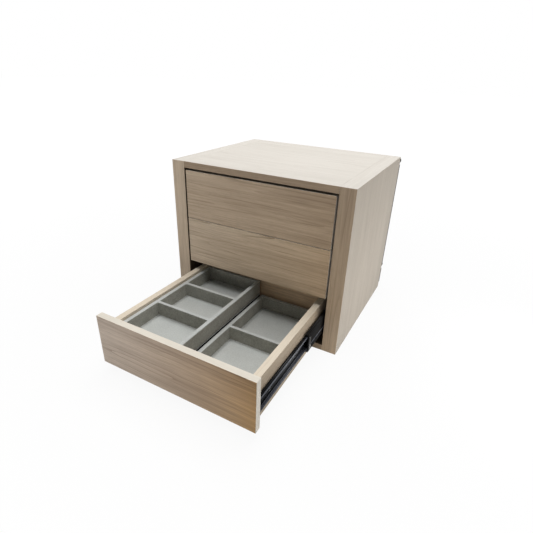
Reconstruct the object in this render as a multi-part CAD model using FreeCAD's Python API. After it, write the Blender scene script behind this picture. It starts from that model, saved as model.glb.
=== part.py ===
import FreeCAD, Part
import os

# Jewelry drawer chest: a veneered case with three equal drawers that have no handles.
# Millimetres. +X is right, +Y is back, +Z is up, and the fronts face -Y.
# The origin is the centre of the case's underside. The bottom drawer stands open.

# Case
case_width = 360.0
case_depth = 306.0
case_height = 314.0
side_thickness = 27.5
panel_thickness = 12.0
back_thickness = 6.0
back_overlap = 2.0
edge_round = 0.5

# Fronts, set flush into the case
front_thickness = 12.0
front_side_reveal = 3.3
front_top_reveal = 4.0
front_bottom_reveal = 5.0
front_gap = 1.2
drawer_names = ["bottom", "middle", "top"]

# Drawer boxes
box_board = 12.0
box_height = 75.0
box_length = 278.8
box_above_front_edge = 1.5
base_thickness = 5.0
base_above_box_edge = 3.8
groove_depth = 5.0
groove_slack = 0.5
bottom_drawer_pull = 241.3

# Three-section ball runners, 45 mm high and 12.7 mm thick
runner_depth = 12.7
runner_slack = 0.1
runner_length = 250.0
runner_behind_front = 4.0
runner_above_box_edge = 35.2
runner_steel = 1.2
runner_screw_places = (0.14, 0.5, 0.86)
cabinet_runner_height = 45.7
cabinet_runner_lip = 9.4
middle_runner_height = 36.0
middle_runner_web = 3.4
middle_runner_lip = 10.9
drawer_runner_height = 28.0
drawer_runner_lip = 6.6
middle_runner_follows = 0.327
ball_race_radius = 2.1
ball_race_depth = 0.3
outer_balls = 6.9
inner_balls = 8.9

# Trays, all of one size
tray_width = 125.6
tray_length = 251.0
tray_height = 30.5
tray_wall = 7.4
tray_divider = 6.0
tray_floor = 4.5
tray_side_slack = 0.5
tray_front_slack = 0.7
tray_edge_round = 0.8
upper_tray_gap = 0.3

# Push-open catches, sliding in the rear ends of the cabinet runners
catch_length = 14.0
catch_thickness = 7.0
catch_nose_height = 16.0
catch_nose_length = 3.8
catch_behind_runner = 19.0
catch_travel = 15.0
catch_room = 36.5
catch_slack = 0.3
tongue_height = 8.0

# Fasteners
screw_radius = 1.75
screw_head_radius = 3.4
screw_head_height = 1.5
screw_sunk = 0.2
runner_hole_radius = 2.2
case_screw_length = 14.0
drawer_screw_length = 10.0
front_screw_length = 18.0
front_screw_place = 95.0
front_screw_heights = (16.0, 65.0)
back_screw_length = 22.0
back_screw_heights = (40.0, 118.0, 196.0, 274.0)
dowel_radius = 3.0
dowel_length = 26.0
buffer_radius = 6.3
buffer_length = 17.0
buffer_round = 1.0
buffer_slack = 0.6
buffer_side_inset = 7.2
upper_buffer_height = 303.3
lower_buffer_height = 54.6

# Worked out from the above
half_width = case_width / 2
front_plane = -case_depth / 2
rear_plane = case_depth / 2
opening_half = half_width - side_thickness
opening_bottom = panel_thickness
opening_top = case_height - panel_thickness
fronts_height = opening_top - opening_bottom - front_top_reveal - front_bottom_reveal
drawer_count = len(drawer_names)
front_height = (fronts_height - front_gap * (drawer_count - 1)) / drawer_count
front_half = opening_half - front_side_reveal
box_half = opening_half - runner_depth - runner_slack
box_inner_half = box_half - box_board
box_start = front_plane + front_thickness
box_end = box_start + box_length
box_inner_start = box_start + box_board
box_inner_end = box_end - box_board
runner_start = box_start + runner_behind_front
runner_end = runner_start + runner_length
tray_start = box_inner_start + tray_front_slack


def box(x0, x1, y0, y1, z0, z1):
    """A plain block between two corners."""
    return Part.makeBox(x1 - x0, y1 - y0, z1 - z0, FreeCAD.Vector(x0, y0, z0))


def board(x0, x1, y0, y1, z0, z1, radius=edge_round):
    """A board with all its edges slightly rounded."""
    block = box(x0, x1, y0, y1, z0, z1)
    return block.makeFillet(radius, block.Edges)


def rod(x, y, z, radius, length, direction):
    """A round bar from a point along a direction."""
    return Part.makeCylinder(radius, length, FreeCAD.Vector(x, y, z), FreeCAD.Vector(*direction))


def mirrored(shape):
    """The same piece on the chest's left."""
    return shape.mirror(FreeCAD.Vector(0, 0, 0), FreeCAD.Vector(1, 0, 0))


def moved_back(shape, distance):
    """A copy of a piece shifted along the depth of the chest."""
    copy = shape.copy()
    copy.translate(FreeCAD.Vector(0, distance, 0))
    return copy


def save(shape, name):
    shape.exportStep("parts/" + name + ".step")
    print(name, len(shape.Solids), "solids", round(shape.Volume / 1000, 2), "cm3")


def screw(x, y, z, length, direction):
    """A pan-head screw: the point given is under its head, and the shank runs along the direction."""
    back = FreeCAD.Vector(*direction) * -screw_head_height
    shank = rod(x, y, z, screw_radius, length, direction)
    head = rod(x + back.x, y + back.y, z + back.z, screw_head_radius, screw_head_height, direction)
    return shank.fuse(head).removeSplitter()


# Heights of one drawer, counted from the bottom drawer up
def front_bottom(level):
    return opening_bottom + front_bottom_reveal + level * (front_height + front_gap)


def box_bottom(level):
    return front_bottom(level) + box_above_front_edge


def base_top(level):
    return box_bottom(level) + base_above_box_edge + base_thickness


def runner_height(level):
    return box_bottom(level) + runner_above_box_edge


def pull(level):
    """How far this drawer stands out in the stored pose."""
    return bottom_drawer_pull if level == 0 else 0.0


# Case: the top and bottom stand between the two sides, on hidden dowels
def case_dowels():
    dowels = []
    for height in (panel_thickness / 2, case_height - panel_thickness / 2):
        for depth in (-case_depth / 3, 0.0, case_depth / 3):
            start = opening_half - dowel_length / 2
            dowels.append(rod(start, depth, height, dowel_radius, dowel_length, (1, 0, 0)))
            dowels.append(rod(-start, depth, height, dowel_radius, dowel_length, (-1, 0, 0)))
    return Part.makeCompound(dowels)


def runner_screw_depths():
    """Where the screws stand along a runner."""
    return [runner_start + place * runner_length for place in runner_screw_places]


def cabinet_runner_screws():
    """Through the webs of the cabinet runners into the case sides."""
    screws = []
    for level in range(drawer_count):
        for depth in runner_screw_depths():
            right = screw(opening_half - runner_steel, depth, runner_height(level),
                          case_screw_length, (1, 0, 0))
            screws += [right, mirrored(right)]
    return Part.makeCompound(screws)


def back_screws():
    """Through the back panel into the rear edges of the sides."""
    screws = []
    x = half_width - side_thickness / 2
    for height in back_screw_heights:
        right = screw(x, rear_plane + back_thickness, height, back_screw_length, (0, -1, 0))
        screws += [right, mirrored(right)]
    return Part.makeCompound(screws)


def wall_buffers():
    """Four rubber stubs on the rear edges of the sides keep the chest off a wall."""
    buffers = []
    for height in (lower_buffer_height, upper_buffer_height):
        right = rod(half_width - buffer_side_inset, rear_plane, height,
                    buffer_radius, buffer_length, (0, 1, 0))
        right = right.makeFillet(buffer_round, [right.Edges[0]])
        buffers += [right, mirrored(right)]
    return Part.makeCompound(buffers)


def back_panel():
    """Covers the opening and the sides' rear edges, cut out round the buffers."""
    panel = board(-half_width, half_width, rear_plane, rear_plane + back_thickness,
                  opening_bottom, opening_top + back_overlap)
    clearance = buffer_radius + buffer_slack
    for side in (-1, 1):
        x = side * (half_width - buffer_side_inset)
        for height in (lower_buffer_height, upper_buffer_height):
            panel = panel.cut(rod(x, rear_plane - 1, height, clearance, back_thickness + 2, (0, 1, 0)))
            outer = sorted((x, side * (half_width + 1)))
            panel = panel.cut(box(*outer, rear_plane - 1, rear_plane + back_thickness + 1,
                                  height - clearance, height + clearance))
    return panel.cut(back_screws())


def case():
    dowels = case_dowels()
    runner_screws = cabinet_runner_screws()
    rear_screws = back_screws()
    right = board(opening_half, half_width, front_plane, rear_plane, 0, case_height)
    right = right.cut([dowels, runner_screws, rear_screws])
    save(right, "case_right_side")
    save(mirrored(right), "case_left_side")
    save(board(-opening_half, opening_half, front_plane, rear_plane, opening_top, case_height).cut(dowels),
         "case_top")
    save(board(-opening_half, opening_half, front_plane, rear_plane, 0, opening_bottom).cut(dowels),
         "case_bottom")
    save(back_panel(), "case_back_panel")
    save(dowels, "case_dowels")
    save(rear_screws, "case_back_screws")
    save(runner_screws, "case_runner_screws")
    save(wall_buffers(), "case_wall_buffers")


# Runners: channels of bent steel, one inside the other, with ball races along their lips
def channel(web_near, web_far, lip_end, height, length, level):
    """A channel on the right of the chest, its sizes across counted from the case side."""
    low = runner_height(level) - height / 2
    high = runner_height(level) + height / 2
    end = runner_start + length
    reach = sorted((web_near, web_far, lip_end))
    near = opening_half - reach[-1]
    far = opening_half - reach[0]
    web = box(opening_half - web_far, opening_half - web_near, runner_start, end, low, high)
    lower_lip = box(near, far, runner_start, end, low, low + runner_steel)
    upper_lip = box(near, far, runner_start, end, high - runner_steel, high)
    return web.fuse([lower_lip, upper_lip]).removeSplitter()


def ball_races(from_side, lip_face, way, level):
    """Grooves for the balls along both lips, sunk into faces that look outward (1) or inward (-1)."""
    centre = lip_face + way * (ball_race_radius - ball_race_depth)
    length = runner_length + catch_room + 2
    return [rod(opening_half - from_side, runner_start - 1, runner_height(level) + side * centre,
                ball_race_radius, length, (0, 1, 0)) for side in (-1, 1)]


def runner_holes(level, from_side):
    """Clearance holes for the screws through a runner's web."""
    start = opening_half - from_side - runner_steel
    return [rod(start, depth, runner_height(level), runner_hole_radius, 3 * runner_steel, (1, 0, 0))
            for depth in runner_screw_depths()]


def cabinet_runner(level):
    """Screwed to the case side, it runs on past the others to carry the catch."""
    length = runner_length + catch_room
    shape = channel(0, runner_steel, cabinet_runner_lip, cabinet_runner_height, length, level)
    races = ball_races(outer_balls, cabinet_runner_height / 2 - runner_steel, -1, level)
    return shape.cut(races + runner_holes(level, runner_steel))


def middle_runner(level):
    shape = channel(middle_runner_web, middle_runner_web + runner_steel, middle_runner_lip,
                    middle_runner_height, runner_length, level)
    outer = ball_races(outer_balls, middle_runner_height / 2, 1, level)
    inner = ball_races(inner_balls, middle_runner_height / 2 - runner_steel, -1, level)
    return shape.cut(outer + inner)


def drawer_runner(level):
    """Its web lies on the drawer's side, and a narrow tongue at its rear end works the catch."""
    shape = channel(runner_depth - runner_steel, runner_depth, drawer_runner_lip,
                    drawer_runner_height, runner_length, level)
    races = ball_races(inner_balls, drawer_runner_height / 2, 1, level)
    shape = shape.cut(races + runner_holes(level, runner_depth))
    tongue = box(opening_half - runner_depth, opening_half - runner_depth + runner_steel,
                 runner_end, runner_end + catch_behind_runner + catch_length / 2,
                 runner_height(level) - tongue_height / 2, runner_height(level) + tongue_height / 2)
    return shape.fuse(tongue).removeSplitter()


def push_catch(level):
    """A plastic slide in the cabinet runner whose slotted nose grips the tongue to push the drawer open."""
    start = runner_end + catch_behind_runner
    end = start + catch_length
    middle = runner_height(level)
    far = opening_half - runner_steel - catch_slack
    near = far - catch_thickness
    half_height = cabinet_runner_height / 2 - runner_steel - catch_slack
    body = box(near, far, start, end, middle - half_height, middle + half_height)
    nose = box(near - catch_nose_length, near, start, end,
               middle - catch_nose_height / 2, middle + catch_nose_height / 2)
    slot_half = tongue_height / 2 + catch_slack
    slot = box(near - catch_nose_length - 1, opening_half - runner_depth + runner_steel + catch_slack,
               start - 1, end + 1, middle - slot_half, middle + slot_half)
    return body.fuse(nose).removeSplitter().cut(slot)


def runners(level):
    name = drawer_names[level]
    middle_shift = -middle_runner_follows * pull(level)
    catch_shift = -catch_travel if pull(level) else 0.0
    pieces = {
        "cabinet_runner": cabinet_runner(level),
        "middle_runner": moved_back(middle_runner(level), middle_shift),
        "drawer_runner": moved_back(drawer_runner(level), -pull(level)),
    }
    for piece, shape in pieces.items():
        save(shape, name + "_right_" + piece)
        save(mirrored(shape), name + "_left_" + piece)
    catch = moved_back(push_catch(level), catch_shift)
    save(Part.makeCompound([catch, mirrored(catch)]), name + "_push_catches")


# Drawer box: a flush front on a box of four boards, with the base in a groove round the inside
def front_screw_seats(level):
    """Where the heads of the front's four screws lie, sunk into the inner face of the box front."""
    depth = box_inner_start - screw_head_height - screw_sunk
    return [(side * front_screw_place, depth, box_bottom(level) + height)
            for height in front_screw_heights for side in (-1, 1)]


def drawer_screws(level):
    """The front's screws from inside the box, and the runners' screws into the box sides."""
    screws = [screw(x, y, z, front_screw_length, (0, -1, 0)) for x, y, z in front_screw_seats(level)]
    web_face = box_half + runner_slack + runner_steel
    for depth in runner_screw_depths():
        right = screw(web_face, depth, runner_height(level), drawer_screw_length, (-1, 0, 0))
        screws += [right, mirrored(right)]
    return Part.makeCompound(screws)


def drawer_box(level):
    name = drawer_names[level] + "_drawer_"
    low = box_bottom(level)
    high = low + box_height
    top_of_base = base_top(level)
    screws = drawer_screws(level)
    reach = groove_depth + groove_slack
    groove = box(-box_inner_half - reach, box_inner_half + reach, box_inner_start - reach,
                 box_inner_end + reach, top_of_base - base_thickness, top_of_base)
    front = board(-front_half, front_half, front_plane, box_start,
                  front_bottom(level), front_bottom(level) + front_height)
    right = board(box_inner_half, box_half, box_start, box_end, low, high)
    cross = board(-box_inner_half, box_inner_half, box_start, box_inner_start, low, high)
    rear = board(-box_inner_half, box_inner_half, box_inner_end, box_end, low, high)
    base = box(-box_inner_half - groove_depth, box_inner_half + groove_depth,
               box_inner_start - groove_depth, box_inner_end + groove_depth,
               top_of_base - base_thickness, top_of_base)
    right = right.cut([groove, screws])
    head_rooms = [rod(x, y, z, screw_head_radius, box_board, (0, 1, 0))
                  for x, y, z in front_screw_seats(level)]
    pieces = {
        "front": front.cut(screws),
        "box_front": cross.cut([groove, screws] + head_rooms),
        "right_side": right,
        "left_side": mirrored(right),
        "back": rear.cut(groove),
        "base": base,
        "screws": screws,
    }
    for piece, shape in pieces.items():
        save(moved_back(shape, -pull(level)), name + piece)


# Trays: a floor, four walls and dividers, covered in suede-like cloth in the finished chest
def tray(x0, bottom, dividers):
    """An open tray with equal compartments."""
    shape = box(x0, x0 + tray_width, tray_start, tray_start + tray_length, bottom, bottom + tray_height)
    outer_edges = [edge for edge in shape.Edges if edge.BoundBox.ZMax > bottom + 1]
    shape = shape.makeFillet(tray_edge_round, outer_edges)
    room_length = (tray_length - 2 * tray_wall - dividers * tray_divider) / (dividers + 1)
    for number in range(dividers + 1):
        start = tray_start + tray_wall + number * (room_length + tray_divider)
        hollow = box(x0 + tray_wall, x0 + tray_width - tray_wall, start, start + room_length,
                     bottom + tray_floor, bottom + tray_height + 1)
        shape = shape.cut(hollow)
    return shape


def trays(level):
    """Two trays side by side on the drawer's base, and one that slides sideways over their rims."""
    low = base_top(level)
    left = -box_inner_half + tray_side_slack
    right = -left - tray_width
    pieces = {
        "left_tray": tray(left, low, 1),
        "right_tray": tray(right, low, 1),
        "upper_tray": tray(left, low + tray_height + upper_tray_gap, 2),
    }
    for piece, shape in pieces.items():
        save(moved_back(shape, -pull(level)), drawer_names[level] + "_drawer_" + piece)


os.makedirs("parts", exist_ok=True)
case()
for drawer_level in range(drawer_count):
    runners(drawer_level)
    drawer_box(drawer_level)
    trays(drawer_level)
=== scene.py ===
import math

import bmesh
import bpy
from mathutils import Euler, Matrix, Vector


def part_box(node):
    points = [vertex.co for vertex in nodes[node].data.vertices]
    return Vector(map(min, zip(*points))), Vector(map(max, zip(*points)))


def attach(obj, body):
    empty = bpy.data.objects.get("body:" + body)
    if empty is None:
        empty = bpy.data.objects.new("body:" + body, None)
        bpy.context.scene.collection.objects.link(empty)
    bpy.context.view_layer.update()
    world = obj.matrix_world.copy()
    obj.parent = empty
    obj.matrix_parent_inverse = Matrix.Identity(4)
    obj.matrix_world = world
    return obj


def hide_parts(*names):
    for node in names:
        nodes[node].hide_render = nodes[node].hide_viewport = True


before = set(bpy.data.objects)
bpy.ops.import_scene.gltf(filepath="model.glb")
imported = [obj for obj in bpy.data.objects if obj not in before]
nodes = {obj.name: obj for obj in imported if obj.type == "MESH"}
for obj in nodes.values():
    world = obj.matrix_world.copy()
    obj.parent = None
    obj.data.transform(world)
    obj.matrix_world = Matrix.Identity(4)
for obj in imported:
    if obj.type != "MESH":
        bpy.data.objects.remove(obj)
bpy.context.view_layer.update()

MM = 0.001

# Camera
# Stands a little above the chest, right of its front, at the photograph's angle and
# distance, turned very slightly about its own axis.
camera_place = Vector((338.0, -734.5, 473.0)) * MM
camera_azimuth = math.radians(27.958)
camera_elevation = math.radians(26.587)
camera_roll = math.radians(1.978)
camera_lens = 26.75
camera_film = 36.0

camera = bpy.data.objects.new("camera", bpy.data.cameras.new("camera"))
bpy.context.scene.collection.objects.link(camera)
bpy.context.scene.camera = camera
camera.data.lens = camera_lens
camera.data.sensor_width = camera_film
camera.location = camera_place
looking = Vector((-math.sin(camera_azimuth) * math.cos(camera_elevation),
                  math.cos(camera_azimuth) * math.cos(camera_elevation),
                  -math.sin(camera_elevation)))
turn = Euler((0, 0, camera_roll)).to_quaternion()
camera.rotation_mode = "QUATERNION"
camera.rotation_quaternion = looking.to_track_quat("-Z", "Y") @ turn

# Light and floor
# A large soft lamp hangs above. Three small ones stand low, on the right, on the left and in
# front, which keeps the gaps round the fronts dark. Floor and surroundings are plain white.
lamps = {
    # name: place, width and power
    "top_lamp": ((0.03, 0.06, 1.7), 1.4, 28.0),
    "right_lamp": ((0.58, -0.02, 0.0), 0.3, 1.55),
    "left_lamp": ((-0.55, -1.3, 0.13), 0.3, 2.1),
    "front_lamp": ((0.34, -1.3, 0.06), 0.3, 2.2),
}
lamp_target = Vector((0.0, -0.1, 0.12))
white = (1, 1, 1, 1)
around_light = 0.09
around_seen = 1.0
floor_half = 12.0
floor_grey = 0.80
floor_seen_grey = 0.065
floor_glow_near = 0.93
floor_glow_far = 1.0
near_chest = 0.4
far_from_chest = 1.6
bpy.context.scene.view_settings.view_transform = "Standard"


def aimed_lamp(name, place, size, power):
    """A square soft lamp that faces the chest."""
    lamp = bpy.data.objects.new(name, bpy.data.lights.new(name, "AREA"))
    lamp.data.shape = "SQUARE"
    lamp.data.size = size
    lamp.data.energy = power
    lamp.location = place
    lamp.rotation_mode = "QUATERNION"
    lamp.rotation_quaternion = (lamp_target - Vector(place)).to_track_quat("-Z", "Y")
    bpy.context.scene.collection.objects.link(lamp)


for name, (place, size, power) in lamps.items():
    aimed_lamp(name, place, size, power)


def ranged(tree, value, low, high, to_low=0.0, to_high=1.0):
    """A value stretched from one range to another, and held there."""
    node = tree.nodes.new("ShaderNodeMapRange")
    node.inputs["From Min"].default_value = low
    node.inputs["From Max"].default_value = high
    node.inputs["To Min"].default_value = to_low
    node.inputs["To Max"].default_value = to_high
    tree.links.new(value, node.inputs["Value"])
    return node.outputs["Result"]


def combined(tree, operation, first, second):
    """Two values, or a value and a number, put together."""
    node = tree.nodes.new("ShaderNodeMath")
    node.operation = operation
    tree.links.new(first, node.inputs[0])
    if isinstance(second, float):
        node.inputs[1].default_value = second
    else:
        tree.links.new(second, node.inputs[1])
    return node.outputs[0]


def seen_directly(tree):
    """1 on rays from the camera, on reflections and through glass, 0 on light that scatters."""
    path = tree.nodes.new("ShaderNodeLightPath").outputs
    seen = combined(tree, "MAXIMUM", path["Is Camera Ray"], path["Is Glossy Ray"])
    return combined(tree, "MAXIMUM", seen, path["Is Transmission Ray"])


def material_tree(name, roughness):
    """A new material, with its node tree and its shader."""
    material = bpy.data.materials.new(name)
    material.use_nodes = True
    shader = material.node_tree.nodes["Principled BSDF"]
    shader.inputs["Roughness"].default_value = roughness
    return material, material.node_tree, shader


def object_place(tree):
    """Each point's place on the chest."""
    return tree.nodes.new("ShaderNodeTexCoord").outputs["Object"]


world = bpy.data.worlds.new("studio")
bpy.context.scene.world = world
world.use_nodes = True
tree = world.node_tree
surroundings = tree.nodes["Background"]
surroundings.inputs["Color"].default_value = white
tree.links.new(ranged(tree, seen_directly(tree), 0.0, 1.0, around_light, around_seen),
               surroundings.inputs["Strength"])

mesh = bpy.data.meshes.new("floor")
corners = [(x * floor_half, y * floor_half, 0) for x, y in ((-1, -1), (1, -1), (1, 1), (-1, 1))]
mesh.from_pydata(corners, [], [(0, 1, 2, 3)])
floor = bpy.data.objects.new("floor", mesh)
bpy.context.scene.collection.objects.link(floor)
floor_white, tree, shader = material_tree("floor_white", roughness=1.0)
shader.inputs["Specular IOR Level"].default_value = 0.0
shader.inputs["Emission Color"].default_value = white
seen = seen_directly(tree)
grey = tree.nodes.new("ShaderNodeCombineColor")
for channel in grey.inputs:
    tree.links.new(ranged(tree, seen, 0.0, 1.0, floor_grey, floor_seen_grey), channel)
tree.links.new(grey.outputs[0], shader.inputs["Base Color"])
from_chest = tree.nodes.new("ShaderNodeVectorMath")
from_chest.operation = "LENGTH"
tree.links.new(object_place(tree), from_chest.inputs[0])
glow = ranged(tree, from_chest.outputs["Value"], near_chest, far_from_chest,
              floor_glow_near, floor_glow_far)
tree.links.new(combined(tree, "MULTIPLY", glow, seen), shader.inputs["Emission Strength"])
floor.data.materials.append(floor_white)

# Case
# Two full-height sides with the top and the bottom board between them, veneered in pale washed
# oak and lacquered satin, with browner bands on the front edges. The top and the sides' upper
# ends are painted paler, as a painted highlight; the right front band darkens towards the top and
# the inner faces are painted near-black brown, both as painted shade.
# The top's tones are paler and greyer than the sides', a painted highlight of the light and sheen
# on the top.
top_veneer_painted_highlight = ((0.700, 0.660, 0.600, 1), (0.585, 0.546, 0.488, 1))
side_veneer = ((0.585, 0.515, 0.425, 1), (0.455, 0.394, 0.318, 1))
left_band = ((0.730, 0.595, 0.450, 1), (0.480, 0.370, 0.262, 1))
# Painted shade: the right side's front band darkens from its foot to its top, and the top's and
# the bottom's front bands use that same darker tone.
right_band_low = ((0.720, 0.560, 0.395, 1), (0.450, 0.332, 0.220, 1))
band_painted_shade = ((0.465, 0.350, 0.242, 1), (0.270, 0.192, 0.124, 1))
# Near-black browns for the case's inward faces, as painted shade.
inner_painted_shade_browns = ((0.085, 0.062, 0.042, 1), (0.040, 0.028, 0.018, 1))
band_foot = 30.0 * MM
band_head = 300.0 * MM
first_sheet = 3.1
facing_limit = 0.6
grain_turns = {"X": (0, 0, 0), "Y": (0, 0, math.pi / 2), "Z": (0, math.pi / 2, 0)}
sheet_step = (1.7, 0.9, 1.3)
grain_bend = (0.0, 0.007, 0.007)
wave_scale = 6.0
wave_detail = 1.5
wood_noises = {
    # name: scale along and across the grain, detail and roughness
    "broad": ((3.6, 34.0, 34.0), 3.0, 0.55),
    "middling": ((5.0, 215.0, 215.0), 3.0, 0.6),
    "rings": ((0.9, 30.0, 30.0), 1.0, 0.4),
    "fading": ((5.0, 70.0, 70.0), 2.0, 0.5),
    "streaks": ((8.0, 460.0, 460.0), 3.0, 0.7),
    "pores": ((60.0, 1500.0, 1500.0), 1.0, 0.5),
}
broad_share = 0.55
ring_count = 11.0
ring_edge = (0.72, 0.98)
ring_fineness = 1.6
fading_edge = (0.42, 0.60)
pore_edge = (0.56, 0.68)
band_contrast = (0.36, 0.64)
streak_contrast = (0.30, 0.70)
streak_share = 0.5
line_shade = (0.72, 0.68, 0.64, 1)
pore_brown = (0.240, 0.185, 0.130, 1)
pore_share = 0.35
lacquer_shine = 0.22
lacquer_dull = 0.06
lacquer_gloss = 0.04
grain_bump = 0.25
grain_depth = 0.25 * MM


def new_group(name, outputs):
    """An empty node group that reads a place and puts out the masks it is given."""
    group = bpy.data.node_groups.new(name, "ShaderNodeTree")
    group.interface.new_socket("Place", in_out="INPUT", socket_type="NodeSocketVector")
    for label in outputs:
        group.interface.new_socket(label, in_out="OUTPUT", socket_type="NodeSocketFloat")
    return group, group.nodes.new("NodeGroupInput"), group.nodes.new("NodeGroupOutput")


def placed_group(tree, group, place):
    """The outputs of a node group, set into a material at a place."""
    node = tree.nodes.new("ShaderNodeGroup")
    node.node_tree = group
    tree.links.new(place, node.inputs["Place"])
    return node.outputs


def stretched_noise(tree, place, stretch, detail, roughness, distortion=0.0):
    """Noise along a place, drawn out by a different amount on each axis."""
    scaled = tree.nodes.new("ShaderNodeVectorMath")
    scaled.operation = "MULTIPLY"
    scaled.inputs[1].default_value = stretch
    tree.links.new(place, scaled.inputs[0])
    noise = tree.nodes.new("ShaderNodeTexNoise")
    noise.inputs["Scale"].default_value = 1.0
    noise.inputs["Detail"].default_value = detail
    noise.inputs["Roughness"].default_value = roughness
    noise.inputs["Distortion"].default_value = distortion
    tree.links.new(scaled.outputs[0], noise.inputs["Vector"])
    return noise.outputs["Fac"]


def share_of_both(tree, first, second, share):
    """Two values added up, with a share of the first and the rest of the second."""
    return combined(tree, "ADD", combined(tree, "MULTIPLY", first, share),
                    combined(tree, "MULTIPLY", second, 1.0 - share))


def wood_figure_group():
    """Straight grain along the local X: broad bands, growth lines, fine streaks, open pores."""
    group, start, end = new_group("wood_figure", ("Bands", "Lines", "Streaks", "Pores", "Height"))
    waves = group.nodes.new("ShaderNodeTexNoise")
    waves.inputs["Scale"].default_value = wave_scale
    waves.inputs["Detail"].default_value = wave_detail
    group.links.new(start.outputs["Place"], waves.inputs["Vector"])
    bend = group.nodes.new("ShaderNodeVectorMath")
    bend.operation = "MULTIPLY_ADD"
    bend.inputs[1].default_value = grain_bend
    group.links.new(waves.outputs["Color"], bend.inputs[0])
    group.links.new(start.outputs["Place"], bend.inputs[2])
    noise = {label: stretched_noise(group, bend.outputs[0], *how)
             for label, how in wood_noises.items()}
    bands = share_of_both(group, noise["broad"], noise["middling"], broad_share)
    rings = combined(group, "MULTIPLY", noise["rings"], ring_count)
    line = ranged(group, combined(group, "MODULO", rings, 1.0), *ring_edge)
    lines = combined(group, "MULTIPLY", combined(group, "POWER", line, ring_fineness),
                     ranged(group, noise["fading"], *fading_edge))
    pores = ranged(group, noise["pores"], *pore_edge)
    for label, value in (("Bands", ranged(group, bands, *band_contrast)),
                         ("Lines", lines),
                         ("Streaks", ranged(group, noise["streaks"], *streak_contrast)),
                         ("Pores", pores),
                         ("Height", combined(group, "SUBTRACT", noise["streaks"], pores))):
        group.links.new(value, end.inputs[label])
    return group


wood_figure = wood_figure_group()


def colour_mix(tree, factor, first, second, kind="MIX"):
    """One colour or the other, by a mask. Each is a colour or a node's output."""
    node = tree.nodes.new("ShaderNodeMix")
    node.data_type = "RGBA"
    node.blend_type = kind
    if isinstance(factor, float):
        node.inputs["Factor"].default_value = factor
    else:
        tree.links.new(factor, node.inputs["Factor"])
    for socket, value in ((node.inputs[6], first), (node.inputs[7], second)):
        if isinstance(value, tuple):
            socket.default_value = value
        else:
            tree.links.new(value, socket)
    return node.outputs[2]


def relief(tree, shader, height, strength, distance):
    """Bump from a height, into the shader's normal."""
    bump = tree.nodes.new("ShaderNodeBump")
    bump.inputs["Strength"].default_value = strength
    bump.inputs["Distance"].default_value = distance
    tree.links.new(height, bump.inputs["Height"])
    tree.links.new(bump.outputs["Normal"], shader.inputs["Normal"])


def wood(name, grain, tones, sheet, roughness=0.45, lines=0.75, zone=None, zone_tones=None):
    """Lacquered wood with its grain along one axis of the chest, in a light and a dark tone. The
    sheet is the place of its cut. A zone is a mask over the piece where darker tones lie, as
    painted shade."""
    material, tree, shader = material_tree(name, roughness)
    shader.inputs["Specular IOR Level"].default_value = lacquer_shine
    place = object_place(tree)
    mapping = tree.nodes.new("ShaderNodeMapping")
    mapping.inputs["Rotation"].default_value = grain_turns[grain]
    mapping.inputs["Location"].default_value = [sheet * step for step in sheet_step]
    tree.links.new(place, mapping.inputs["Vector"])
    figure = placed_group(tree, wood_figure, mapping.outputs[0])
    light, dark = tones
    if zone:
        mask = zone(tree, place)
        light = colour_mix(tree, mask, light, zone_tones[0])
        dark = colour_mix(tree, mask, dark, zone_tones[1])
    bands = colour_mix(tree, figure["Bands"], dark, light)
    streaks = colour_mix(tree, figure["Streaks"], dark, light)
    veneer = colour_mix(tree, streak_share, bands, streaks)
    lined = colour_mix(tree, combined(tree, "MULTIPLY", figure["Lines"], lines), veneer,
                       colour_mix(tree, 1.0, dark, line_shade, "MULTIPLY"))
    pores = combined(tree, "MULTIPLY", figure["Pores"], pore_share * lines)
    tree.links.new(colour_mix(tree, pores, lined, pore_brown), shader.inputs["Base Color"])
    tree.links.new(ranged(tree, figure["Streaks"], 0.0, 1.0,
                          roughness + lacquer_dull, roughness - lacquer_gloss),
                   shader.inputs["Roughness"])
    relief(tree, shader, figure["Height"], grain_bump, grain_depth)
    return material


def along_axis(tree, place, axis, start, end):
    """Grows from 0 to 1 between two places on an axis of the chest."""
    parts = tree.nodes.new("ShaderNodeSeparateXYZ")
    tree.links.new(place, parts.inputs[0])
    return ranged(tree, parts.outputs[axis], start, end)


# Mask of the painted shade on the right side's front band.
def upwards(tree, place):
    """Grows from 0 near the foot of the case to 1 near its top."""
    return along_axis(tree, place, "Z", band_foot, band_head)


def paint(name, material, *others):
    """Gives a CAD node its finish. Each other finish comes with a test, and goes on the faces
    whose normal passes it."""
    mesh = nodes[name].data
    mesh.materials.clear()
    mesh.materials.append(material)
    for number, (other, turned) in enumerate(others):
        mesh.materials.append(other)
        for polygon in mesh.polygons:
            if turned(polygon.normal):
                polygon.material_index = number + 1


def facing(axis, way):
    """A test for faces that look one way along an axis of the chest."""
    part = "XYZ".index(axis)
    return lambda normal: normal[part] * way > facing_limit


# The upward ends of the sides take the top's paler tones, as a painted highlight.
upper_ends = wood("upper_ends_veneer", "Y", top_veneer_painted_highlight, sheet=9.4, lines=0.3)
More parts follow.
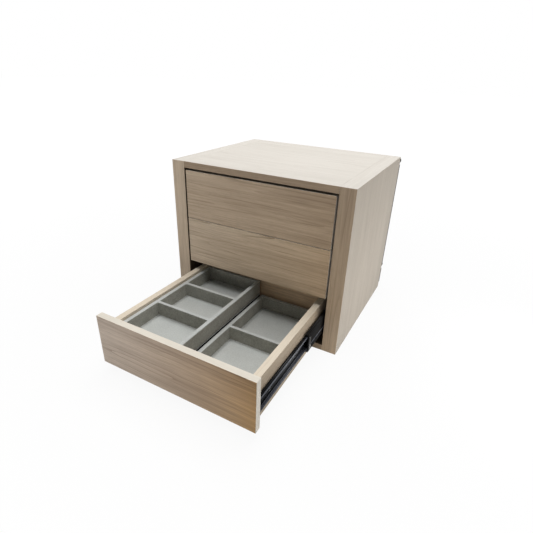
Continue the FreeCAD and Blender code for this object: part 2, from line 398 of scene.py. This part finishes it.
# The case's inward faces are painted near-black brown, as painted shade.
inner_painted_shade = {"X": wood("inner_stain_across", "X", inner_painted_shade_browns, sheet=4.4),
               "Z": wood("inner_stain_upright", "Z", inner_painted_shade_browns, sheet=4.9)}
for number, (name, grain, tones, band_low, band_high, inward) in enumerate([
        ("case_left_side", "Z", side_veneer, left_band, left_band, facing("X", 1)),
        ("case_right_side", "Z", side_veneer, right_band_low, band_painted_shade, facing("X", -1)),
        ("case_top", "X", top_veneer_painted_highlight, band_painted_shade, band_painted_shade, facing("Z", -1)),
        ("case_bottom", "X", side_veneer, band_painted_shade, band_painted_shade, facing("Z", 1))]):
    sheet = first_sheet + number
    finish = wood(name + "_veneer", grain, tones, sheet, lines=0.3)
    band = wood(name + "_band", grain, band_low, sheet, lines=0.5, zone=upwards,
                zone_tones=band_high)
    others = [(inner_painted_shade[grain], inward), (band, facing("Y", -1))]
    if grain == "Z":
        others.append((upper_ends, facing("Z", 1)))
    paint(name, finish, *others)

# Back panel, screws, dowels and buffers
# A dark hardboard back is screwed on behind the sides, where four rubber stubs keep the
# chest off the wall. Beech dowels hold the boards together.
hardboard_browns = ((0.024, 0.023, 0.024, 1), (0.048, 0.043, 0.040, 1))
zinc_greys = ((0.56, 0.56, 0.57, 1), (0.42, 0.42, 0.43, 1))
rubber_blacks = ((0.018, 0.018, 0.019, 1), (0.03, 0.03, 0.031, 1))
beech_tones = ((0.62, 0.45, 0.28, 1), (0.50, 0.34, 0.20, 1))
speck_noise = (3.0, 0.6)
cloud_noise = (2.0, 0.5)
cloud_size = 30
noise_span = (0.3, 0.7)
cloud_span = (0.2, 0.7)
cloud_shade = 0.5
cloud_gloss = 0.06
cloud_dull = 0.08
speck_depth = 0.2 * MM


def speckled(name, tones, scale, roughness, bump, metallic=0.0, shine=0.5):
    """A plain material with fine specks in its colour and its relief, and faint clouds."""
    material, tree, shader = material_tree(name, roughness)
    shader.inputs["Metallic"].default_value = metallic
    shader.inputs["Specular IOR Level"].default_value = shine
    place = object_place(tree)
    specks = stretched_noise(tree, place, (scale,) * 3, *speck_noise)
    clouds = stretched_noise(tree, place, (scale / cloud_size,) * 3, *cloud_noise)
    mask = combined(tree, "MULTIPLY", ranged(tree, specks, *noise_span),
                    ranged(tree, clouds, *cloud_span, cloud_shade, 1.0))
    tree.links.new(colour_mix(tree, mask, *tones), shader.inputs["Base Color"])
    tree.links.new(ranged(tree, clouds, *noise_span,
                          roughness - cloud_gloss, roughness + cloud_dull),
                   shader.inputs["Roughness"])
    relief(tree, shader, specks, bump, speck_depth)
    return material


hardboard = speckled("hardboard", hardboard_browns, scale=900.0, roughness=0.8, bump=0.3,
                     shine=0.1)
rubber = speckled("buffer_rubber", rubber_blacks, scale=1200.0, roughness=0.8, bump=0.2,
                  shine=0.15)
zinc = speckled("zinc_steel", zinc_greys, scale=1500.0, roughness=0.32, bump=0.05, metallic=1.0)
paint("case_back_panel", hardboard)
for name in ("case_back_screws", "case_runner_screws"):
    paint(name, zinc)
paint("case_wall_buffers", rubber)
paint("case_dowels", wood("dowel_beech", "X", beech_tones, sheet=8.0))

# Runners
# Each drawer hangs on two three-section ball runners, rolled from black steel strip with round
# bends, grooves for the balls and a pressed bead along the drawer section's web.
runner_blacks = ((0.005, 0.006, 0.008, 1), (0.011, 0.012, 0.015, 1))
middle_blacks = ((0.006, 0.006, 0.006, 1), (0.016, 0.014, 0.013, 1))
# A lighter bluish grey, painted on as a highlight where the runners would catch the light.
highlight_greys = ((0.095, 0.103, 0.128, 1), (0.170, 0.180, 0.210, 1))
runner_black = speckled("runner_black", runner_blacks, scale=700.0, roughness=0.28, bump=0.06,
                        shine=0.16)
middle_steel = speckled("middle_steel", middle_blacks, scale=500.0, roughness=0.38, bump=0.06,
                        shine=0.12)
highlight_steel = speckled("highlight_steel", highlight_greys, scale=600.0, roughness=0.34, bump=0.06)
drawer_names = ("bottom", "middle", "top")
runner_pairs = [(drawer, hand, side) for drawer in drawer_names
                for hand, side in (("left", -1), ("right", 1))]
case_inner_half = 152.5 * MM
runner_depth = 12.7 * MM
strip = 1.2 * MM
bend_radius = 2.2 * MM
bend_share = 0.42
bend_run_in = 1.15
upper_halves = {
    # in mm, from the upper lip to the middle: reach from the case's side, and height
    "cabinet": [(9.4, 20.9), (8.6, 22.25), (0.6, 22.25)],
    "middle": [(10.9, 15.6), (10.3, 17.4), (8.0, 17.1), (6.9, 16.9), (4.0, 17.4), (4.0, 6.5),
               (4.7, 5.0)],
    "drawer": [(6.6, 11.8), (7.0, 13.4), (8.9, 12.9), (10.6, 13.4), (12.1, 12.2), (12.1, 3.4),
               (10.6, 2.2)],
}
tongue_length = 26.0 * MM
tongue_half = 4.0 * MM
tongue_overlap = 0.5 * MM
lower_lip = 12.0 * MM
lip_edge = 7.0 * MM
bead_corner = 2.8 * MM
web_corner = 5.75 * MM
highlight_width = 0.6 * MM
lip_tilt = 0.25
ledge_tilt = 0.8


def finished_piece(name, mesh, body, slot, *materials):
    """Links a new piece, gives it its finishes and sets it on its body."""
    piece = bpy.data.objects.new(name, mesh)
    bpy.context.scene.collection.objects.link(piece)
    for material in materials:
        mesh.materials.append(material)
    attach(piece, body)
    return piece


def as_mesh(shape, name, smooth=True):
    """A finished mesh from a bmesh."""
    bmesh.ops.recalc_face_normals(shape, faces=shape.faces)
    for face in shape.faces:
        face.smooth = smooth
    mesh = bpy.data.meshes.new(name)
    shape.to_mesh(mesh)
    shape.free()
    return mesh


def box_and_middle(node):
    """A runner's lowest and highest corners, and the height of its middle."""
    low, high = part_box(node)
    return low, high, (low.z + high.z) / 2


def beside_case(line, side, middle):
    """A section's line in X and Z, from its reach off the case's side and its height in mm."""
    return [(side * (case_inner_half - reach * MM), middle + up * MM) for reach, up in line]


def softened(points, radius, steps=4):
    """A line in X and Z with each of its inner corners rounded."""
    path = [Vector(points[0])]
    for before, corner, after in zip(points, points[1:], points[2:]):
        corner = Vector(corner)
        into, out = Vector(before) - corner, Vector(after) - corner
        reach = min(radius, into.length * bend_share, out.length * bend_share)
        start, end = corner + into.normalized() * reach, corner + out.normalized() * reach
        path.append(corner + into.normalized() * reach * bend_run_in)
        for k in range(steps + 1):
            t = k / steps
            path.append(start * (1 - t) ** 2 + corner * 2 * t * (1 - t) + end * t ** 2)
        path.append(corner + out.normalized() * reach * bend_run_in)
    path.append(Vector(points[-1]))
    return path


def rolled_strip(shape, path, thickness, start, end):
    """A bent strip of even thickness along Y, from the line through its middle."""
    sides = [[], []]
    for k, point in enumerate(path):
        along = path[min(k + 1, len(path) - 1)] - path[max(k - 1, 0)]
        across = Vector((-along.y, along.x)).normalized() * thickness / 2
        sides[0].append(point + across)
        sides[1].append(point - across)
    outline = sides[0] + sides[1][::-1]
    rings = [[shape.verts.new((p.x, y, p.y)) for p in outline] for y in (start, end)]
    count = len(outline)
    for k in range(count):
        after = (k + 1) % count
        shape.faces.new((rings[0][k], rings[0][after], rings[1][after], rings[1][k]))
    for ring in rings:
        for k in range(len(path) - 1):
            shape.faces.new((ring[k], ring[k + 1], ring[count - 2 - k], ring[count - 1 - k]))


def block(shape, low, high):
    """A plain block between two corners."""
    for v in bmesh.ops.create_cube(shape, size=1.0)["verts"]:
        v.co = Vector([low[k] if v.co[k] < 0 else high[k] for k in range(3)])


def runner_mesh(name, section, side, low, high, middle):
    """One rolled section in its place. The drawer section's web goes on as a narrow tongue."""
    half = upper_halves[section]
    line = [(reach, -up) for reach, up in half] + half[::-1]
    shape = bmesh.new()
    end = high.y - (tongue_length if section == "drawer" else 0.0)
    path = softened(beside_case(line, side, middle), bend_radius)
    rolled_strip(shape, path, strip, low.y, end)
    if section == "drawer":
        web = sorted(side * (case_inner_half - reach)
                     for reach in (runner_depth, runner_depth - strip))
        block(shape, (web[0], end - tongue_overlap, middle - tongue_half),
              (web[1], high.y, middle + tongue_half))
    return as_mesh(shape, name)


def painted_highlight_faces(polygon, section, middle):
    """Painted highlight: a lighter bluish grey on the lower lips, the edges of lips and the
    pressed corners, standing in for the light they catch.
    """
    up = polygon.center.z - middle
    reach = case_inner_half - abs(polygon.center.x)
    if section == "drawer":
        on_lower_lip = up < -lower_lip and polygon.normal.z > lip_tilt
        on_bead = abs(abs(up) - bead_corner) < highlight_width
        return on_lower_lip or on_bead or reach < lip_edge
    on_ledge = polygon.normal.z > ledge_tilt
    on_corner = abs(up + web_corner) < highlight_width
    return up < 0 and (on_ledge or on_corner)


for drawer, hand, side in runner_pairs:
    for section in ("cabinet", "middle", "drawer"):
        node = f"{drawer}_{hand}_{section}_runner"
        body = {"cabinet": "case", "middle": node, "drawer": f"{drawer}_drawer"}[section]
        finish = middle_steel if section == "middle" else runner_black
        low, high, middle = box_and_middle(node)
        mesh = runner_mesh(node + "_steel", section, side, low, high, middle)
        # Faces chosen for the painted highlight take the lighter grey.
        for polygon in mesh.polygons:
            polygon.material_index = 1 if painted_highlight_faces(polygon, section, middle) else 0
        rolled = finished_piece(node + "_steel", mesh, body, "runner_steel", finish, highlight_steel)
        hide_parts(node)

# Runner stops
# A black plastic cap on the front end of each middle section, with a bent steel tab below it,
# stops the drawer section and deadens its knock.
stop_blacks = ((0.012, 0.012, 0.013, 1), (0.022, 0.022, 0.024, 1))
tab_greys = ((0.30, 0.29, 0.28, 1), (0.42, 0.41, 0.40, 1))
stop_plastic = speckled("stop_plastic", stop_blacks, scale=1200.0, roughness=0.35, bump=0.1,
                        shine=0.4)
tab_steel = speckled("tab_steel", tab_greys, scale=900.0, roughness=0.3, bump=0.05, metallic=0.8)
stop_across = (1.8 * MM, 5.7 * MM)
stop_length = 6.5 * MM
stop_half = 14.6 * MM
stop_foot = 2.0 * MM
nose_length = 2.4 * MM
nose_top = 2.6 * MM
stop_round = 1.04 * MM
tab_line = [(2.4, -3.0), (2.2, -8.0), (2.6, -12.5), (4.6, -14.2)]
tab_bend = 3.0 * MM
tab_strip = 0.8 * MM
tab_front = 2.6 * MM
tab_rear = 7.5 * MM
sharp_turn = 0.5


def rounded(shape, width, segments):
    """Rounds every edge of a bmesh that turns sharply."""
    edges = [e for e in shape.edges
             if len(e.link_faces) == 2 and e.calc_face_angle() > sharp_turn]
    bmesh.ops.bevel(shape, geom=edges, offset=width, segments=segments, profile=0.5,
                    affect="EDGES")


for drawer, hand, side in runner_pairs:
    node = f"{drawer}_{hand}_middle_runner"
    low, high, middle = box_and_middle(node)
    across = sorted(side * (case_inner_half - reach) for reach in stop_across)
    shape = bmesh.new()
    block(shape, (across[0], low.y, middle - stop_foot),
          (across[1], low.y + stop_length, middle + stop_half))
    block(shape, (across[0], low.y, middle - stop_half),
          (across[1], low.y + nose_length, middle - nose_top))
    rounded(shape, stop_round, segments=3)
    cap = as_mesh(shape, node + "_stop")
    finished_piece(node + "_stop", cap, node, "catch_plastic", stop_plastic)
    shape = bmesh.new()
    path = softened(beside_case(tab_line, side, middle), tab_bend)
    rolled_strip(shape, path, tab_strip, low.y + tab_front, low.y + tab_rear)
    tab = as_mesh(shape, node + "_tab")
    finished_piece(node + "_tab", tab, node, "runner_steel", tab_steel)

# Ball cages
# Two rows of steel balls between each pair of runner sections, held apart by a strip of thin
# steel that is bent round to both rows.
cage_greys = ((0.34, 0.35, 0.37, 1), (0.22, 0.23, 0.25, 1))
ball_greys = ((0.66, 0.66, 0.68, 1), (0.56, 0.56, 0.58, 1))
cage_zinc = speckled("cage_zinc", cage_greys, scale=1200.0, roughness=0.3, bump=0.06, metallic=1.0)
ball_steel = speckled("ball_steel", ball_greys, scale=2500.0, roughness=0.12, bump=0.02,
                      metallic=1.0)
ball_radius = {"outer": 1.75 * MM, "inner": 1.5 * MM}
ball_row = {"outer": 19.7 * MM, "inner": 15.1 * MM}
ball_from_side = {"outer": 6.9 * MM, "inner": 8.9 * MM}
ball_pitch = 7.0 * MM
first_ball = 0.6 * ball_pitch
cage_web_from_side = {"outer": 2.3 * MM, "inner": 5.6 * MM}
cage_length = {"outer": 74.0 * MM, "inner": 64.0 * MM}
cage_start = {"outer": 26.0 * MM, "inner": 8.0 * MM}
cage_steel = 0.6 * MM
cage_arm = 3.4 * MM


def extruded(shape, outline, start, end):
    """A closed bar along Y from an outline in X and Z."""
    ends = [[shape.verts.new((x, y, z)) for x, z in outline] for y in (start, end)]
    count = len(outline)
    for k in range(count):
        after = (k + 1) % count
        shape.faces.new((ends[0][k], ends[0][after], ends[1][after], ends[1][k]))
    shape.faces.new(ends[0])
    shape.faces.new(ends[1][::-1])


def cage_mesh(name, kind, side, front, middle):
    """The bent strip of one cage: a web with an arm along each row of balls."""
    web = side * (case_inner_half - cage_web_from_side[kind])
    inward = web - side * (ball_from_side[kind] - cage_web_from_side[kind] + cage_arm / 2)
    web_face = web - side * cage_steel
    outer = ball_row[kind] + cage_steel / 2
    inner = ball_row[kind] - cage_steel / 2
    outline = [(web, middle - outer), (web, middle + outer),
               (inward, middle + outer), (inward, middle + inner),
               (web_face, middle + inner), (web_face, middle - inner),
               (inward, middle - inner), (inward, middle - outer)]
    shape = bmesh.new()
    extruded(shape, outline, front, front + cage_length[kind])
    return as_mesh(shape, name, smooth=False)


def ball_mesh(name, kind, side, front, middle):
    """Both rows of balls of one cage."""
    shape = bmesh.new()
    x = side * (case_inner_half - ball_from_side[kind])
    for row in (-1, 1):
        for number in range(int(cage_length[kind] / ball_pitch)):
            ball = bmesh.ops.create_icosphere(shape, subdivisions=2, radius=ball_radius[kind])
            y = front + first_ball + ball_pitch * number
            bmesh.ops.translate(shape, verts=ball["verts"],
                                vec=(x, y, middle + row * ball_row[kind]))
    return as_mesh(shape, name)


for drawer, hand, side in runner_pairs:
    for kind, carrier in (("outer", "cabinet"), ("inner", "middle")):
        low, high, middle = box_and_middle(f"{drawer}_{hand}_{carrier}_runner")
        body = f"{drawer}_{hand}_middle_runner" if kind == "inner" else "case"
        front = low.y + cage_start[kind]
        name = f"{drawer}_{hand}_{kind}_cage"
        cage = cage_mesh(name, kind, side, front, middle)
        finished_piece(name, cage, body, "runner_steel", cage_zinc)
        name = f"{drawer}_{hand}_{kind}_balls"
        balls = ball_mesh(name, kind, side, front, middle)
        finished_piece(name, balls, body, "runner_steel", ball_steel)

# Push-open catches
# Small black plastic slides in the rear ends of the runners, which push a drawer open when
# it is pressed.
catch_blacks = ((0.05, 0.05, 0.053, 1), (0.07, 0.07, 0.074, 1))
catch_plastic = speckled("catch_plastic", catch_blacks, scale=1400.0, roughness=0.48, bump=0.12)
for drawer in drawer_names:
    paint(f"{drawer}_push_catches", catch_plastic)

# Drawer fronts
# Three fronts of the same veneer with the grain running across, cut one above the other from
# one sheet, with paler bands on their edges, flush with the case and with no handles. Each front
# darkens towards its right end, as painted shade.
front_tones = {
    # name: light and dark at the left end, then the darker tones of the painted shade at the right
    # end
    "top": (((0.660, 0.525, 0.385, 1), (0.370, 0.270, 0.180, 1)),
            ((0.550, 0.410, 0.275, 1), (0.280, 0.193, 0.120, 1))),
    "middle": (((0.725, 0.600, 0.455, 1), (0.405, 0.302, 0.205, 1)),
               ((0.650, 0.480, 0.310, 1), (0.330, 0.228, 0.136, 1))),
    "bottom": (((0.670, 0.567, 0.470, 1), (0.382, 0.297, 0.233, 1)),
               ((0.520, 0.314, 0.130, 1), (0.195, 0.110, 0.044, 1))),
}
edge_band = ((0.880, 0.825, 0.725, 1), (0.800, 0.742, 0.640, 1))
front_half = 149.0 * MM
shade_growth = 1.5
front_sheet = 5.2


# Mask of the painted shade towards the right end of a front.
def shade_towards_right(tree, place):
    """Grows from 0 at the left end of a front to 1 at its right end."""
    along = along_axis(tree, place, "X", -front_half, front_half)
    return combined(tree, "POWER", along, shade_growth)


def off_the_face(normal):
    """A test for the faces on the edges and the rear of a front."""
    return normal.y > -facing_limit


band_finish = wood("edge_band", "X", edge_band, sheet=2.6, lines=0.2)
for drawer in drawer_names:
    tones, right_end_painted_shade = front_tones[drawer]
    finish = wood(drawer + "_front_veneer", "X", tones, front_sheet, zone=shade_towards_right,
                  zone_tones=right_end_painted_shade)
    paint(f"{drawer}_drawer_front", finish, (band_finish, off_the_face))

# Drawer boxes
# Four boards of light oak with a thin base in a groove, screwed to the front from inside. The
# sides' upper edges are painted paler, as a painted highlight, and their faces towards the runners
# browner, as painted shade; the back board is painted browner too, as painted shade.
box_oak = ((0.780, 0.700, 0.585, 1), (0.620, 0.540, 0.430, 1))
# Painted shade: the back board and the sides' outward faces are browner and darker than the other
# boards.
back_oak_painted_shade = ((0.740, 0.550, 0.375, 1), (0.500, 0.355, 0.230, 1))
outer_oak_painted_shade = ((0.560, 0.460, 0.340, 1), (0.440, 0.350, 0.250, 1))
# Painted highlight: the sides' upper edges are paler than the rest of the oak.
rim_oak_painted_highlight = ((0.860, 0.765, 0.625, 1), (0.750, 0.660, 0.530, 1))
screw_blacks = ((0.012, 0.012, 0.013, 1), (0.03, 0.03, 0.032, 1))
bare_oak = 0.55
side_finish = wood("box_side_oak", "Y", box_oak, sheet=6.4, roughness=bare_oak, lines=0.35)
outer_finish = wood("box_outer_oak", "Y", outer_oak_painted_shade, sheet=6.4, roughness=bare_oak, lines=0.35)
rim_finish = wood("box_rim_oak", "Y", rim_oak_painted_highlight, sheet=8.2, roughness=bare_oak, lines=0.25)
cross_finish = wood("box_cross_oak", "X", box_oak, sheet=7.3, roughness=bare_oak, lines=0.35)
back_finish = wood("box_back_oak", "X", back_oak_painted_shade, sheet=1.3, roughness=bare_oak)
black_zinc = speckled("black_zinc", screw_blacks, scale=1500.0, roughness=0.3, bump=0.05,
                      metallic=0.3)
for drawer in drawer_names:
    for name, outward in (("left_side", -1), ("right_side", 1)):
        paint(f"{drawer}_drawer_{name}", side_finish, (outer_finish, facing("X", outward)),
              (rim_finish, facing("Z", 1)))
    for name in ("box_front", "base"):
        paint(f"{drawer}_drawer_{name}", cross_finish)
    paint(f"{drawer}_drawer_back", back_finish)
    paint(f"{drawer}_drawer_screws", black_zinc)

# Trays
# Shallow board trays lined with grey suede cloth that is turned over the rims, with a cloth pad in
# each compartment. The rims are painted a paler grey, as a painted highlight. The upper tray is
# covered outside too; the lower ones have their outer sides painted near-black, as painted shade
# in the narrow gaps beside them.
wall_greys = ((0.450, 0.448, 0.400, 1), (0.235, 0.230, 0.198, 1))
pad_greys = ((0.580, 0.598, 0.575, 1), (0.455, 0.469, 0.447, 1))
# Paler greys for the rims of the same cloth, as a painted highlight.
rim_painted_highlight_greys = ((0.620, 0.638, 0.622, 1), (0.470, 0.484, 0.466, 1))
# Near-black for the lower trays' outer sides, as painted shade.
slot_shade_blacks = ((0.012, 0.012, 0.012, 1), (0.022, 0.021, 0.020, 1))
nap_scale = 430.0
nap_noise = (4.0, 0.7)
nap_contrast = (0.36, 0.64)
nap_share = 0.65
patch_scale = 45.0
patch_noise = (3.0, 0.6, 0.4)
cloth_sheen = 0.35
cloth_sheen_spread = 0.45
cloth_shine = 0.25
nap_bump = 0.35
nap_depth = 0.3 * MM
tray_wall = 7.4 * MM
tray_divider = 6.0 * MM
tray_floor = 4.0 * MM
tray_rim_round = 1.6 * MM
outer_skin = 0.3 * MM
rim_tilt = 0.5
side_tilt = 0.9
pad_gap = 0.5 * MM
pad_edge_height = 0.4 * MM
pad_crown = 0.5 * MM
pad_sink = 0.2 * MM
pad_steps = 12
pad_slope = 6


def suede_group():
    """A short nap: fine fibres, and patches brushed one way or the other."""
    group, start, end = new_group("suede", ("Nap", "Patches"))
    place = start.outputs["Place"]
    fibres = stretched_noise(group, place, (nap_scale,) * 3, *nap_noise)
    patches = stretched_noise(group, place, (patch_scale,) * 3, *patch_noise)
    group.links.new(ranged(group, fibres, *nap_contrast), end.inputs["Nap"])
    group.links.new(ranged(group, patches, *noise_span), end.inputs["Patches"])
    return group


suede = suede_group()


def suede_cloth(name, greys):
    """Suede cloth with a soft sheen, in a light and a dark grey."""
    light, dark = greys
    material, tree, shader = material_tree(name, roughness=0.9)
    shader.inputs["Sheen Weight"].default_value = cloth_sheen
    shader.inputs["Sheen Roughness"].default_value = cloth_sheen_spread
    shader.inputs["Specular IOR Level"].default_value = cloth_shine
    nap = placed_group(tree, suede, object_place(tree))
    mask = share_of_both(tree, nap["Nap"], nap["Patches"], nap_share)
    tree.links.new(colour_mix(tree, mask, dark, light), shader.inputs["Base Color"])
    relief(tree, shader, nap["Nap"], nap_bump, nap_depth)
    return material


tray_cloth = suede_cloth("tray_suede", wall_greys)
pad_cloth = suede_cloth("pad_suede", pad_greys)
rim_painted_highlight_cloth = suede_cloth("rim_suede_painted_highlight", rim_painted_highlight_greys)
side_painted_shade = speckled("tray_side_painted_shade", slot_shade_blacks, scale=900.0, roughness=0.9, bump=0.2, shine=0.1)


def tray_rooms(low, high, dividers):
    """Front and rear edge of each compartment."""
    length = (high.y - low.y - 2 * tray_wall - dividers * tray_divider) / (dividers + 1)
    starts = [low.y + tray_wall + number * (length + tray_divider)
              for number in range(dividers + 1)]
    return [(start, start + length) for start in starts]


def round_the_edge(grid):
    """The outer points of a grid, one after the other."""
    rows, columns = len(grid) - 1, len(grid[0]) - 1
    return ([grid[i][0] for i in range(rows)] + [grid[-1][j] for j in range(columns)]
            + [grid[i][-1] for i in range(rows, 0, -1)]
            + [grid[0][j] for j in range(columns, 0, -1)])


def closed_below(shape, rim, height):
    """Upright sides from a rim down to a flat underside."""
    foot = [shape.verts.new((v.co.x, v.co.y, height)) for v in rim]
    for k in range(len(rim)):
        after = (k + 1) % len(rim)
        shape.faces.new((rim[k], foot[k], foot[after], rim[after]))
    shape.faces.new(foot)


def tray_mesh(name, low, high, dividers):
    """One tray: its rim, the compartments sunk into it, and its outside."""
    rooms = tray_rooms(low, high, dividers)
    shape = bmesh.new()
    xs = [low.x, low.x + tray_wall, high.x - tray_wall, high.x]
    ys = [low.y] + [edge for room in rooms for edge in room] + [high.y]
    rim = [[shape.verts.new((x, y, high.z)) for y in ys] for x in xs]
    for i in range(len(xs) - 1):
        for j in range(len(ys) - 1):
            corners = (rim[i][j], rim[i + 1][j], rim[i + 1][j + 1], rim[i][j + 1])
            if i == 1 and j % 2 == 1:
                sunk = [shape.verts.new((v.co.x, v.co.y, low.z + tray_floor)) for v in corners]
                shape.faces.new(sunk)
                for k in range(4):
                    after = (k + 1) % 4
                    shape.faces.new((corners[k], corners[after], sunk[after], sunk[k]))
            else:
                shape.faces.new(corners)
    closed_below(shape, round_the_edge(rim), low.z)
    bmesh.ops.recalc_face_normals(shape, faces=shape.faces)
    rounded(shape, tray_rim_round, segments=4)
    mesh = as_mesh(shape, name)
    for polygon in mesh.polygons:
        centre, normal = polygon.center, polygon.normal
        outside = min(centre.x - low.x, high.x - centre.x) < outer_skin
        # Upward faces of the rim take the paler rim cloth, a painted highlight.
        if normal.z > rim_tilt and centre.z > high.z - tray_rim_round:
            polygon.material_index = 1
        # The outer sides of the lower trays are painted near-black, as painted shade in the narrow
        # gaps beside them.
        elif outside and abs(normal.x) > side_tilt and not name.endswith("upper_tray_cloth"):
            polygon.material_index = 2
    return mesh


def pad_mesh(name, low, high, rooms):
    """The floor pads of a tray: thin, softly crowned, with turned-under edges."""
    shape = bmesh.new()
    x0, x1 = low.x + tray_wall + pad_gap, high.x - tray_wall - pad_gap
    floor_height = low.z + tray_floor
    for front, rear in rooms:
        y0, y1 = front + pad_gap, rear - pad_gap
        grid = []
        for i in range(pad_steps + 1):
            u = i / pad_steps
            row = []
            for j in range(pad_steps + 1):
                v = j / pad_steps
                inset = min(u, 1 - u, v, 1 - v)
                crown = pad_crown * (1 - (1 - min(1.0, inset * pad_slope)) ** 3)
                row.append(shape.verts.new((x0 + (x1 - x0) * u, y0 + (y1 - y0) * v,
                                            floor_height + pad_edge_height + crown)))
            grid.append(row)
        for i in range(pad_steps):
            for j in range(pad_steps):
                shape.faces.new((grid[i][j], grid[i + 1][j], grid[i + 1][j + 1], grid[i][j + 1]))
        closed_below(shape, round_the_edge(grid), floor_height - pad_sink)
    return as_mesh(shape, name)


for drawer in drawer_names:
    for tray, dividers in (("left_tray", 1), ("right_tray", 1), ("upper_tray", 2)):
        node = f"{drawer}_drawer_{tray}"
        body = node if tray == "upper_tray" else f"{drawer}_drawer"
        low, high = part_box(node)
        shell = finished_piece(node + "_cloth", tray_mesh(node + "_cloth", low, high, dividers),
                               body, "tray_cloth", tray_cloth, rim_painted_highlight_cloth, side_painted_shade)
        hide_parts(node)
        pads = pad_mesh(node + "_pads", low, high, tray_rooms(low, high, dividers))
        finished_piece(node + "_pads", pads, body, "tray_cloth", pad_cloth)
